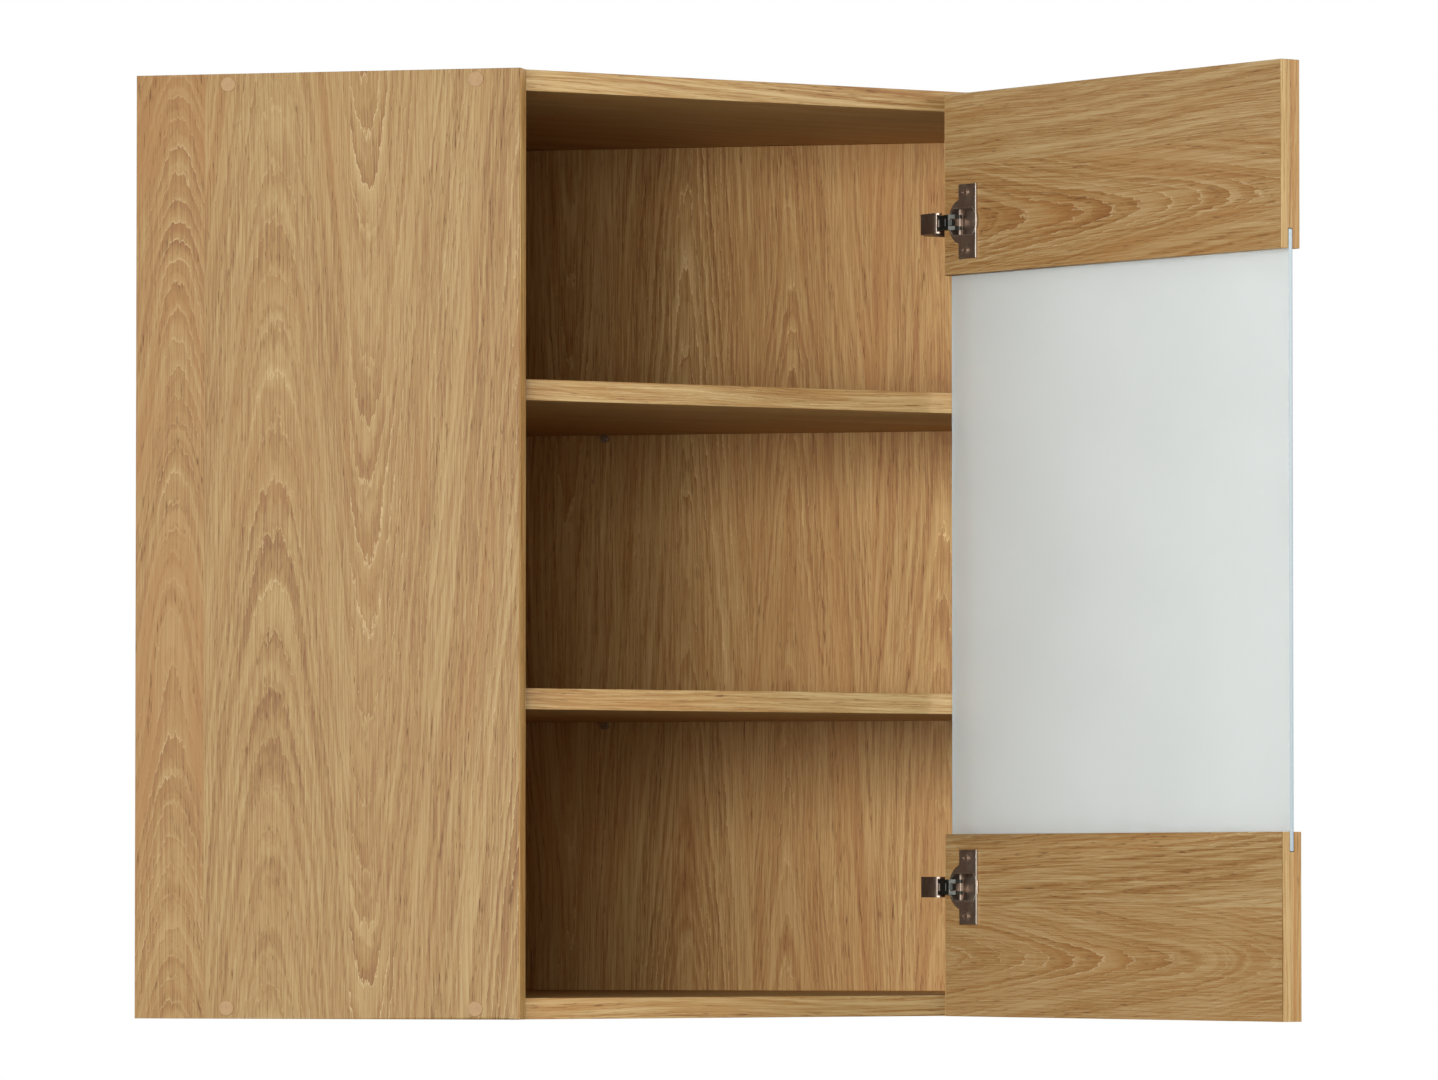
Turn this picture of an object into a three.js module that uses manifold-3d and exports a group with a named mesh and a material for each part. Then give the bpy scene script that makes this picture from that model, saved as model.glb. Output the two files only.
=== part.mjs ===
// Diagonal corner wall cabinet with one glazed door, two shelves and cup hinges.
// Millimetres, +Z up. The origin is the lower room corner behind the cabinet: one wall is the
// plane x = 0 and the other the plane y = 0, and the cabinet fills x > 0, y < 0, z > 0.
// The door stands open at its hinge stop, which is the rest pose.
import * as THREE from "three";
import { mergeVertices } from "three/addons/utils/BufferGeometryUtils.js";
import Module from "manifold-3d";

const wasm = await Module();
wasm.setup();

// Driving dimensions of the carcass.
const WALL_WIDTH = 600; // along each wall
const HEIGHT = 720;
const BOARD = 16; // carcass board
const SIDE_DEPTH = 304; // side panel, from the wall to its front edge
const BACK_RECESS = 7; // gap between a back panel and its wall
const SHELF_COUNT = 2;
const SHELF_SETBACK = 9; // shelf front behind the carcass front
const SHELF_CLEARANCE = 1;
const PIN_RADIUS = 2.5;
const PIN_PEG = 8; // length in the board
const SUPPORT_RADIUS = 3.1;
const SUPPORT_REACH = 8; // support proud of the board
const PIN_FROM_CORNER = 222; // back panel pins, from the room corner
const PIN_FROM_FRONT = 60; // side panel pins, from the front edge

// Driving dimensions of the door.
const DOOR_OVERHANG = 2.8; // past each inner front corner of the carcass
const DOOR_GAP = 4.5; // closed door to carcass front
const DOOR_BOARD = 18;
const DOOR_HEIGHT = 716;
const RAIL_HEIGHT = 141;
const GLASS = 4;
const GLASS_BITE = 15; // glass edge inside each rail
const GLASS_PLAY = 0.3;
const OPEN_ANGLE = 96;

// Driving dimensions of the hinges. A plan point on the door is [from the hinge edge, depth from
// the inner face]; one on the carcass front is [left of the hinge corner, out from the front].
const HINGE_FROM_END = 100; // hinge centre from each end of the door
const CUP_RADIUS = 17.5;
const CUP_DEPTH = 13.2;
const CUP_CENTRE = 24.2; // from the hinge edge of the door
const CUP_PIVOT = [13, 5]; // outer link pin in the cup
const ARM_PIVOT = [29, 6]; // outer link pin in the arm
const LINK_SWING = 51; // turn of the outer link as the door opens
const INNER_CUP_PIVOT = [11.2, 7.8];
const INNER_ARM_PIVOT = [27.2, -2];
const LINK_PIN_RADIUS = 1.2;
const LINK_HEIGHT = 11.8;
const INNER_LINK_HEIGHT = 4.8;
const ARM_HEIGHT = 16;
const SHEET = 1.4; // steel sheet of the hinge
const FIT = 0.3; // running gap in the hinge

// Driving dimensions of the fastenings.
const PLATE_SCREW = { back: 37, z: 16, radius: 2, head: 3.9, length: 11 };
const CAP_RADIUS = 5.8;
const CAP_THICKNESS = 0.8;
const CAP_FROM_FRONT = 35;
const CAP_FROM_BACK = 73;
const CAP_PEG = { radius: 1.5, length: 2.6 };
const SCREW_LENGTH = 48;
const SCREW_HEAD_RADIUS = 4.6;
const SCREW_HEAD = 8; // length of the thick part under the head
const SCREW_RADIUS = 3.2;
const SOCKET = { radius: 2, depth: 3.2 }; // hexagon socket of the screw
const HANGER = { from: 24, to: 60, sheet: 1.6, half: 30, foot: 4, top: 60 };
const KEYHOLE = { radius: 6, slot: 2.6, up: 12, down: 8 };

const INNER = WALL_WIDTH - BOARD; // inner face of each side panel, from the far wall
const CEILING = HEIGHT - BOARD;
const BACK_FACE = BACK_RECESS + BOARD;
const FRONT_LENGTH = (INNER - SIDE_DEPTH) * Math.SQRT2;
const DOOR_WIDTH = FRONT_LENGTH + 2 * DOOR_OVERHANG;
const HINGES = { lower: HINGE_FROM_END, upper: DOOR_HEIGHT - HINGE_FROM_END };
const RAD = Math.PI / 180;

function board(color, roughness = 0.55) {
  return new THREE.MeshStandardMaterial({ color, roughness, metalness: 0 });
}
function metal(color, roughness = 0.35) {
  return new THREE.MeshStandardMaterial({ color, roughness, metalness: 1 });
}

// A closed three.js geometry as a solid that can be joined and cut.
function solid(geometry) {
  const bare = geometry.clone();
  bare.deleteAttribute("normal");
  bare.deleteAttribute("uv");
  const merged = mergeVertices(bare, 1e-4);
  return new wasm.Manifold(
    new wasm.Mesh({
      numProp: 3,
      vertProperties: new Float32Array(merged.attributes.position.array),
      triVerts: new Uint32Array(merged.index.array),
    }),
  );
}

// A solid back as a three.js geometry.
function geometryOf(body) {
  const mesh = body.getMesh();
  const geometry = new THREE.BufferGeometry();
  geometry.setAttribute("position", new THREE.BufferAttribute(mesh.vertProperties, 3));
  geometry.setIndex(new THREE.BufferAttribute(mesh.triVerts, 1));
  geometry.computeVertexNormals();
  return geometry;
}

function box(x0, x1, y0, y1, z0, z1) {
  const geometry = new THREE.BoxGeometry(x1 - x0, y1 - y0, z1 - z0);
  return solid(geometry.translate((x0 + x1) / 2, (y0 + y1) / 2, (z0 + z1) / 2));
}

// A plan outline raised from z0 to z1. The outline is a THREE.Shape or a list of [x, y].
function prism(outline, z0, z1, segments = 6) {
  const shape = Array.isArray(outline)
    ? new THREE.Shape(outline.map(([x, y]) => new THREE.Vector2(x, y)))
    : outline;
  const options = { depth: z1 - z0, bevelEnabled: false, curveSegments: segments };
  return solid(new THREE.ExtrudeGeometry(shape, options).translate(0, 0, z0));
}

// A round bar from one point to another along x, y or z.
function rod(from, to, radius, segments = 16) {
  const start = new THREE.Vector3(...from);
  const span = new THREE.Vector3(...to).sub(start);
  const geometry = new THREE.CylinderGeometry(radius, radius, span.length(), segments);
  const upright = new THREE.Vector3(0, 1, 0);
  const turn = new THREE.Quaternion().setFromUnitVectors(upright, span.clone().normalize());
  geometry.applyQuaternion(turn);
  return solid(geometry.translate(...start.addScaledVector(span, 0.5).toArray()));
}

// A strip of sheet in plan along a path of [x, y], with round ends.
function strip(path, thickness, z0, z1) {
  let body = null;
  path.forEach(([x, y], i) => {
    const joint = rod([x, y, z0], [x, y, z1], thickness / 2, 8);
    body = body ? body.add(joint) : joint;
    if (i === 0) return;
    const [px, py] = path[i - 1];
    const length = Math.hypot(x - px, y - py);
    const side = [(-(y - py) * thickness) / 2 / length, ((x - px) * thickness) / 2 / length];
    const corners = [
      [px - side[0], py - side[1]],
      [x - side[0], y - side[1]],
      [x + side[0], y + side[1]],
      [px + side[0], py + side[1]],
    ];
    body = body.add(prism(corners, z0, z1));
  });
  return body;
}

function place(parent, name, body, material) {
  const mesh = new THREE.Mesh(geometryOf(body), material.clone());
  mesh.name = name;
  parent.add(mesh);
  return mesh;
}

function group(parent, x, y, z, degrees = 0) {
  const node = new THREE.Group();
  node.position.set(x, y, z);
  node.rotation.z = degrees * RAD;
  parent.add(node);
  return node;
}

const WOOD = board(0xc4a070);
const BACK_WOOD = board(0xb08b5e);
const DOOR_WOOD = board(0xb48c5c);
const FROSTED = board(0xd4dad8, 0.45);
const NICKEL = metal(0xb9b4ab);
const DARK_STEEL = metal(0x5d5a50, 0.4);
const ZINC = metal(0xc4c2bc, 0.45);
const CAP_PLASTIC = board(0xa9814f, 0.6);

const cabinet = new THREE.Group();

// The carcass.

// The five-sided plan of a board between the side panels: rear edges at rear from the walls,
// ends at side from the side panels, front edge at setback behind the carcass front.
function fiveSided(rear, side, setback) {
  const end = INNER - side;
  const front = end - (FRONT_LENGTH / Math.SQRT2 - side) - setback * Math.SQRT2;
  return [
    [rear, -rear],
    [rear, -end],
    [front, -end],
    [end, -front],
    [end, -rear],
  ].reverse();
}

const SCREW_HEIGHTS = { bottom: BOARD / 2, top: HEIGHT - BOARD / 2 };
const SCREW_PLACES = { front: SIDE_DEPTH - CAP_FROM_FRONT, rear: CAP_FROM_BACK };

// A connecting screw lies along y with its head at y = 0, shank towards +y.
function connectingScrew() {
  const head = rod([0, 0.2, 0], [0, SCREW_HEAD + 0.2, 0], SCREW_HEAD_RADIUS, 14);
  const shank = rod([0, SCREW_HEAD, 0], [0, SCREW_LENGTH, 0], SCREW_RADIUS, 10);
  const socket = rod([0, -1, 0], [0, SOCKET.depth, 0], SOCKET.radius, 6);
  return head.add(shank).subtract(socket);
}

// The cap has a flat head over the panel face and a hexagon peg in the screw's socket.
function coverCap() {
  const cover = rod([0, -CAP_THICKNESS, 0], [0, 0, 0], CAP_RADIUS, 20);
  const peg = rod([0, -0.1, 0], [0, CAP_PEG.length, 0], CAP_PEG.radius, 6);
  return cover.add(peg);
}

// The drilling for one connecting screw, a little wider than the screw.
function screwHole() {
  const sinkEnd = [0, SCREW_HEAD + 0.2 + FIT, 0];
  const sink = rod([0, -1, 0], sinkEnd, SCREW_HEAD_RADIUS + 2 * FIT, 12);
  const boreEnd = [0, SCREW_LENGTH + 1, 0];
  const bore = rod([0, SCREW_HEAD, 0], boreEnd, SCREW_RADIUS + 2 * FIT, 8);
  return sink.add(bore);
}

// The left side panel in its own group: outer face at y = 0, depth along +x, rear edge at x = 0.
function sidePanel(pinHeights) {
  let body = box(0, SIDE_DEPTH, 0, BOARD, 0, HEIGHT);
  for (const z of Object.values(SCREW_HEIGHTS)) {
    for (const x of Object.values(SCREW_PLACES)) {
      body = body.subtract(screwHole().translate([x, 0, z]));
    }
  }
  for (const z of pinHeights) {
    body = body.subtract(pinHole(SIDE_DEPTH - PIN_FROM_FRONT, BOARD, z));
  }
  return body;
}

// A shelf pin along y: a peg in the board and a thicker round support under the shelf.
function shelfPin() {
  const peg = rod([0, -PIN_PEG, 0], [0, 1, 0], PIN_RADIUS, 10);
  return peg.add(rod([0, 0.05, 0], [0, SUPPORT_REACH, 0], SUPPORT_RADIUS, 14));
}
function pinHole(x, y, z) {
  return rod([x, y - PIN_PEG - FIT, z], [x, y + 1, z], PIN_RADIUS + FIT, 12);
}

// Shelves divide the clear height equally. Each rests on the round supports of its pins.
const bay = (CEILING - BOARD - SHELF_COUNT * BOARD) / (SHELF_COUNT + 1);
const shelfBottoms = [];
for (let i = 1; i <= SHELF_COUNT; i++) {
  shelfBottoms.push(BOARD + i * bay + (i - 1) * BOARD);
}
const pinHeights = shelfBottoms.map((z) => z - SUPPORT_RADIUS - 0.05);

function boardWithScrewHoles(z0) {
  let body = prism(fiveSided(0, 0, 0), z0, z0 + BOARD);
  const z = z0 + BOARD / 2;
  for (const along of Object.values(SCREW_PLACES)) {
    const left = screwHole().translate([along, -WALL_WIDTH, z]);
    const right = screwHole().rotate([0, 0, 90]).translate([WALL_WIDTH, -along, z]);
    body = body.subtract(left).subtract(right);
  }
  return body;
}

place(cabinet, "bottom_panel", boardWithScrewHoles(0), WOOD);
place(cabinet, "top_panel", boardWithScrewHoles(CEILING), WOOD);

const shelfNames = ["lower_shelf", "upper_shelf"];
shelfBottoms.forEach((z, i) => {
  const outline = fiveSided(BACK_FACE + SHELF_CLEARANCE, SHELF_CLEARANCE, SHELF_SETBACK);
  place(cabinet, shelfNames[i], prism(outline, z, z + BOARD), WOOD);
});

// The back panels stand between top and bottom. The right one butts against the left one.
let leftBack = box(BACK_RECESS, BACK_FACE, -INNER, -BACK_RECESS, BOARD, CEILING);
let rightBack = box(BACK_FACE, INNER, -BACK_FACE, -BACK_RECESS, BOARD, CEILING);
for (const z of pinHeights) {
  const bore = rod([0, 0, z], [PIN_PEG + FIT + 1, 0, z], PIN_RADIUS + FIT, 12);
  leftBack = leftBack.subtract(bore.translate([BACK_FACE - PIN_PEG - FIT, -PIN_FROM_CORNER, 0]));
  const turned = bore.rotate([0, 0, 90]);
  rightBack = rightBack.subtract(turned.translate([PIN_FROM_CORNER, -BACK_FACE - 1, 0]));
}
place(cabinet, "left_back_panel", leftBack, BACK_WOOD);
place(cabinet, "right_back_panel", rightBack, BACK_WOOD);

// Each side: the panel, its four connecting screws and caps, and its shelf pins.
// The left side is drawn in the panel's own frame, and the right side mirrors it in the diagonal.
function mirrored(body) {
  // Swaps x with -y: a mirror in the vertical plane through the room corner and the door.
  return body.transform([0, -1, 0, 0, -1, 0, 0, 0, 0, 0, 1, 0, 0, 0, 0, 1]);
}

// The right side panel is drilled for the screws of the two mounting plates.
function plateScrewHoles() {
  const holes = [];
  for (const height of Object.values(HINGES)) {
    for (const z of [height - PLATE_SCREW.z, height + PLATE_SCREW.z]) {
      const y = PLATE_SCREW.back - SIDE_DEPTH;
      const to = [INNER + PLATE_SCREW.length + FIT, y, z];
      holes.push(rod([INNER - 1, y, z], to, PLATE_SCREW.radius + FIT, 12));
    }
  }
  return holes;
}

function side(name, finish, cuts = []) {
  const outer = -WALL_WIDTH;
  let panel = finish(sidePanel(pinHeights).translate([0, outer, 0]));
  for (const cut of cuts) {
    panel = panel.subtract(cut);
  }
  place(cabinet, name + "_side_panel", panel, WOOD);
  for (const [level, z] of Object.entries(SCREW_HEIGHTS)) {
    for (const [spot, x] of Object.entries(SCREW_PLACES)) {
      const at = [x, outer, z];
      const label = name + "_" + level + "_" + spot;
      place(cabinet, label + "_screw", finish(connectingScrew().translate(at)), ZINC);
      place(cabinet, label + "_cap", finish(coverCap().translate(at)), CAP_PLASTIC);
    }
  }
  pinHeights.forEach((z, i) => {
    const nearFront = [SIDE_DEPTH - PIN_FROM_FRONT, -INNER, z];
    const onSide = shelfPin().translate(nearFront);
    const onBack = shelfPin().rotate([0, 0, -90]).translate([BACK_FACE, -PIN_FROM_CORNER, z]);
    place(cabinet, shelfNames[i] + "_pin_" + name + "_front", finish(onSide), ZINC);
    place(cabinet, shelfNames[i] + "_pin_" + name + "_back", finish(onBack), ZINC);
  });
}
side("left", (body) => body);
side("right", mirrored, plateScrewHoles());

// A hanging plate closes the gap behind each back panel: steel sheet with a keyhole, on two feet.
function hangingPlate() {
  const { sheet, half, foot } = HANGER;
  const [near, far] = [-INNER + HANGER.from, -INNER + HANGER.to];
  const middle = CEILING - HANGER.top;
  const rear = BACK_RECESS - 2 - sheet;
  let body = box(rear, rear + sheet, near, far, middle - half, middle + half);
  for (const z of [middle - half, middle + half - 2 * foot]) {
    body = body.add(box(rear, BACK_RECESS, near, far, z, z + 2 * foot));
  }
  const centre = (near + far) / 2;
  const { radius, slot, up, down } = KEYHOLE;
  const neck = box(0, BACK_RECESS + 1, centre - slot, centre + slot, middle - down, middle + up);
  const lowEnd = middle - down - 2;
  const round = rod([0, centre, lowEnd], [BACK_RECESS + 1, centre, lowEnd], radius, 20);
  return body.subtract(neck).subtract(round);
}
place(cabinet, "left_hanging_plate", hangingPlate(), ZINC);
place(cabinet, "right_hanging_plate", mirrored(hangingPlate()), ZINC);

// The carcass front at the hinge side: origin at the hinge corner, x to the left along the
// front, y out of the cabinet.
const front = group(cabinet, INNER, -SIDE_DEPTH, 0, -135);

// The outer links turn about the arm pivots, and the door about the far end of the links.
const closedPivot = [CUP_PIVOT[0] - DOOR_OVERHANG, CUP_PIVOT[1] + DOOR_GAP];
const linkReach = [closedPivot[0] - ARM_PIVOT[0], closedPivot[1] - ARM_PIVOT[1]];
const linkFrame = group(front, ARM_PIVOT[0], ARM_PIVOT[1], 0, -LINK_SWING);
const doorPivot = group(linkFrame, linkReach[0], linkReach[1], 0, OPEN_ANGLE + LINK_SWING);
const door = group(doorPivot, -CUP_PIVOT[0], -CUP_PIVOT[1], 0);

// The door: x from the hinge edge, y from the inner face, z from its lower end.
const glassFace = (DOOR_BOARD - GLASS) / 2;

// The round flange of the cup, and the two-winged plate joined to it.
const FLANGE = { from: 19.1, to: 40.9, half: 29, thickness: 1.2, radius: 17.9 };
const CUP_SCREW = { x: 27, z: 22.5, radius: 2, head: 3.8, length: 12 };

function rail(z0, grooveFrom, hingeHeight) {
  let body = box(0, DOOR_WIDTH, 0, DOOR_BOARD, z0, z0 + RAIL_HEIGHT);
  const groove = [glassFace - GLASS_PLAY, glassFace + GLASS + GLASS_PLAY];
  body = body.subtract(
    box(-1, DOOR_WIDTH + 1, ...groove, grooveFrom, grooveFrom + GLASS_BITE + 1),
  );
  const cup = [CUP_CENTRE, -1, hingeHeight];
  const cupEnd = [CUP_CENTRE, CUP_DEPTH + FIT, hingeHeight];
  body = body.subtract(rod(cup, cupEnd, CUP_RADIUS + FIT, 32));
  for (const z of [hingeHeight - CUP_SCREW.z, hingeHeight + CUP_SCREW.z]) {
    const from = [CUP_SCREW.x, -1, z];
    const to = [CUP_SCREW.x, CUP_SCREW.length + FIT, z];
    body = body.subtract(rod(from, to, CUP_SCREW.radius + FIT, 12));
  }
  return body;
}

const topRailZ = DOOR_HEIGHT - RAIL_HEIGHT;
const lowGroove = RAIL_HEIGHT - GLASS_BITE;
place(door, "door_bottom_rail", rail(0, lowGroove, HINGES.lower), DOOR_WOOD);
place(door, "door_top_rail", rail(topRailZ, topRailZ - 1, HINGES.upper), DOOR_WOOD);
const pane = box(
  0,
  DOOR_WIDTH,
  glassFace,
  glassFace + GLASS,
  lowGroove + GLASS_PLAY,
  topRailZ + GLASS_BITE - GLASS_PLAY,
);
place(door, "door_glass", pane, FROSTED);

// The hinge cup: flange on the door face, round cup in its bore, eight-sided well for the links.
const WELL = { from: 7.9, to: 39, half: 10.2, floor: 0.6 };
function cupWell() {
  const { from, to, half, floor } = WELL;
  const upper = [
    [to, 5.6],
    [to - 3.6, half],
    [from + 5.1, half],
    [from, 4.4],
  ];
  const lower = upper.map(([x, y]) => [x, -y]).reverse();
  // The outline lies in x and z, so the prism is raised along z and then laid back along y.
  return prism([...upper, ...lower], floor - CUP_DEPTH, 4).rotate([90, 0, 0]);
}

function cupBody() {
  const wings = box(
    FLANGE.from,
    FLANGE.to,
    -FLANGE.thickness,
    -0.05,
    -FLANGE.half,
    FLANGE.half,
  );
  const round = rod([CUP_CENTRE, -FLANGE.thickness, 0], [CUP_CENTRE, -0.05, 0], FLANGE.radius, 32);
  const barrel = rod([CUP_CENTRE, -0.1, 0], [CUP_CENTRE, CUP_DEPTH, 0], CUP_RADIUS, 32);
  let body = wings.add(round).add(barrel).subtract(cupWell());
  for (const z of [-CUP_SCREW.z, CUP_SCREW.z]) {
    body = body.subtract(
      rod([CUP_SCREW.x, -3, z], [CUP_SCREW.x, 1, z], CUP_SCREW.radius + FIT, 12),
    );
  }
  for (const [x, y] of [CUP_PIVOT, INNER_CUP_PIVOT]) {
    body = body.subtract(rod([x, y, -12.6], [x, y, 12.6], LINK_PIN_RADIUS + FIT, 10));
  }
  return body;
}

const SLOT = 0.45; // half width of a cross slot
function cupScrew(z) {
  const { x, radius, head, length } = CUP_SCREW;
  const face = -FLANGE.thickness - 0.05;
  const dome = rod([x, face - 1.6, z], [x, face, z], head, 14);
  const shank = rod([x, face - 0.1, z], [x, length, z], radius, 8);
  const slotFloor = face - 0.8;
  const level = box(x - 1.9, x + 1.9, -5, slotFloor, z - SLOT, z + SLOT);
  const upright = box(x - SLOT, x + SLOT, -5, slotFloor, z - 1.9, z + 1.9);
  return dome.add(shank).subtract(level).subtract(upright);
}

// One bent wire makes both link pins of the cup: two legs across the well and a bridge.
const WIRE_REACH = 9.9;
function cupWire(radius, reach) {
  const legs = [CUP_PIVOT, INNER_CUP_PIVOT].map(([x, y]) =>
    rod([x, y, -reach], [x, y, reach], radius, 10),
  );
  const bridge = strip([CUP_PIVOT, INNER_CUP_PIVOT], 2 * radius, reach - 2 * radius, reach);
  return legs[0].add(legs[1]).add(bridge);
}

const EYE_RADIUS = [2.3, 1.9]; // outer link, in the arm and in the cup

// The outer link: two cheeks bent round the door edge, joined by a web over the inner link.
function outerLink() {
  const reach = Math.hypot(...linkReach);
  const path = [
    [0, 0],
    [4.2, -2.6],
    [12.6, -6.4],
    [17.4, -5],
    [reach, 0],
  ];
  const outer = LINK_HEIGHT / 2;
  const inner = INNER_LINK_HEIGHT / 2 + 0.6;
  const eyes = [path[0], path[path.length - 1]];
  let body = strip([path[1], [9, -4.78]], 1.2, -outer, outer).translate([0, -0.4, 0]);
  for (const z0 of [inner, -outer]) {
    const z1 = z0 + outer - inner;
    body = body.add(strip(path, 2, z0, z1));
    eyes.forEach(([x, y], i) => {
      body = body.add(rod([x, y, z0], [x, y, z1], EYE_RADIUS[i], 10));
    });
  }
  for (const [x, y] of eyes) {
    body = body.subtract(rod([x, y, -outer - 1], [x, y, outer + 1], LINK_PIN_RADIUS + FIT, 10));
  }
  return body;
}

// The inner link turns on its own trunnions in the arm, and ends short of its pin in the cup.
function innerLink() {
  const path = [
    [0, 0],
    [7.4, -2.9],
    [11.4, -5.4],
    [18.9, -8.8],
    [20.8, -7.4],
    [21.5, -4.8],
  ];
  const half = INNER_LINK_HEIGHT / 2;
  const trunnion = rod([0, 0, -7.7], [0, 0, 7.7], LINK_PIN_RADIUS, 8);
  return strip(path, 1.6, -half, half).add(rod([0, 0, -half], [0, 0, half], 2.2, 12)).add(trunnion);
}

// A point near the right side panel, off its inner face and back from its front edge, as a plan
// point of the carcass front.
function onPanel(off, back) {
  return [(off - back) * Math.SQRT1_2, -(off + back) * Math.SQRT1_2];
}

// The arm: a channel of sheet from the link pivots back over the mounting plate.
const ARM_WEB = 32.8; // outer face of the web at the links
const ARM_TAIL = 15.5; // outer face of the web over the plate, off the panel
function hingeArm() {
  const outline = [
    [ARM_WEB, 4.6],
    [ARM_WEB, -13.7],
    onPanel(33.1, 2),
    onPanel(ARM_TAIL, 22),
    onPanel(ARM_TAIL, 66),
    onPanel(8.2, 66),
    onPanel(8.2, 25),
    onPanel(24, 3),
    [25.2, -9],
    [25.9, 4.5],
    [26.6, 7.3],
    [28, 8.6],
    [30, 8.6],
    [31.8, 7.2],
  ].reverse();
  const half = ARM_HEIGHT / 2;
  let body = prism(outline, -half, half);
  const hollow = prism(outline, SHEET - half, half - SHEET);
  // The channel is open towards the panel, so the hollow is moved on in short steps that way.
  for (let step = 1; step <= 6; step++) {
    const moved = SHEET * (2 * step - 1);
    body = body.subtract(hollow.translate([-moved, moved * Math.tan(Math.PI / 8), 0]));
  }
  body = body.subtract(box(20, ARM_WEB - SHEET, 3, 12, SHEET - half, half - SHEET));
  for (const [x, y] of [ARM_PIVOT, INNER_ARM_PIVOT]) {
    body = body.subtract(rod([x, y, -9], [x, y, 9], LINK_PIN_RADIUS + FIT, 10));
  }
  return body;
}

// The mounting plate, drawn with x off the panel, y back from the panel's front edge.
const WINGS = { thickness: 2.6, width: 16, half: 24 };
const RIB = { from: 26, to: 64, half: 6.2, top: 13.8 };
const ON_PANEL = 0.05; // hairline between a fitting and the face that it sits on
function mountingPlate() {
  const { back, radius } = PLATE_SCREW;
  const [near, far] = [back - WINGS.width / 2, back + WINGS.width / 2];
  let body = box(ON_PANEL, WINGS.thickness, near, far, -WINGS.half, WINGS.half);
  body = body.add(box(ON_PANEL, RIB.top, RIB.from, RIB.to, -RIB.half, RIB.half));
  for (const z of [-PLATE_SCREW.z, PLATE_SCREW.z]) {
    body = body.subtract(rod([-1, back, z], [4, back, z], radius + FIT, 12));
  }
  return body;
}
function plateScrew(z) {
  const { back, radius, head, length } = PLATE_SCREW;
  const face = WINGS.thickness + ON_PANEL;
  const shank = rod([-length, back, z], [face + 0.1, back, z], radius, 8);
  const dome = rod([face, back, z], [face + 1.8, back, z], head, 14);
  const slotFloor = face + 1;
  const upright = box(slotFloor, 9, back - SLOT, back + SLOT, z - 2, z + 2);
  const level = box(slotFloor, 9, back - 2, back + 2, z - SLOT, z + SLOT);
  return shank.add(dome).subtract(upright).subtract(level);
}

const linkAngle = Math.atan2(linkReach[1], linkReach[0]) / RAD;

// The inner link lies along its reach with the door open, and has swung back when it is closed.
function innerLinkAngle() {
  const [x, y] = [INNER_CUP_PIVOT[0] - CUP_PIVOT[0], INNER_CUP_PIVOT[1] - CUP_PIVOT[1]];
  const turn = OPEN_ANGLE * RAD;
  const outer = (linkAngle - LINK_SWING) * RAD;
  const reach = Math.hypot(...linkReach);
  const pin = [
    ARM_PIVOT[0] + reach * Math.cos(outer) + x * Math.cos(turn) - y * Math.sin(turn),
    ARM_PIVOT[1] + reach * Math.sin(outer) + x * Math.sin(turn) + y * Math.cos(turn),
  ];
  return Math.atan2(pin[1] - INNER_ARM_PIVOT[1], pin[0] - INNER_ARM_PIVOT[0]) / RAD;
}

for (const [name, height] of Object.entries(HINGES)) {
  const label = name + "_hinge";
  const onDoor = group(door, 0, 0, height);
  const wireRoom = cupWire(LINK_PIN_RADIUS + FIT, WIRE_REACH + FIT);
  place(onDoor, label + "_cup", cupBody().subtract(wireRoom), NICKEL);
  place(onDoor, label + "_cup_wire", cupWire(LINK_PIN_RADIUS, WIRE_REACH), NICKEL);
  place(onDoor, label + "_cup_screw_low", cupScrew(-CUP_SCREW.z), ZINC);
  place(onDoor, label + "_cup_screw_high", cupScrew(CUP_SCREW.z), ZINC);

  const onLink = group(linkFrame, 0, 0, height, linkAngle);
  place(onLink, label + "_outer_link", outerLink(), DARK_STEEL);
  const onInner = group(front, ...INNER_ARM_PIVOT, height, innerLinkAngle());
  place(onInner, label + "_inner_link", innerLink(), DARK_STEEL);

  const onFront = group(front, 0, 0, height);
  place(onFront, label + "_arm", hingeArm(), NICKEL);
  const [x, y] = ARM_PIVOT;
  place(onFront, label + "_arm_pin", rod([x, y, -7.8], [x, y, 7.8], LINK_PIN_RADIUS, 8), NICKEL);

  // On the panel: x runs off the inner face of the right side panel, so it is turned about z.
  const onSide = group(cabinet, INNER, -SIDE_DEPTH, height);
  const turned = (body) => body.transform([-1, 0, 0, 0, 0, 1, 0, 0, 0, 0, 1, 0, 0, 0, 0, 1]);
  place(onSide, label + "_mounting_plate", turned(mountingPlate()), NICKEL);
  place(onSide, label + "_plate_screw_low", turned(plateScrew(-PLATE_SCREW.z)), ZINC);
  place(onSide, label + "_plate_screw_high", turned(plateScrew(PLATE_SCREW.z)), ZINC);
}

export default cabinet;
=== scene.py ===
import math
from typing import NamedTuple

import bmesh
import bpy
from mathutils import Matrix, Vector


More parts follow.
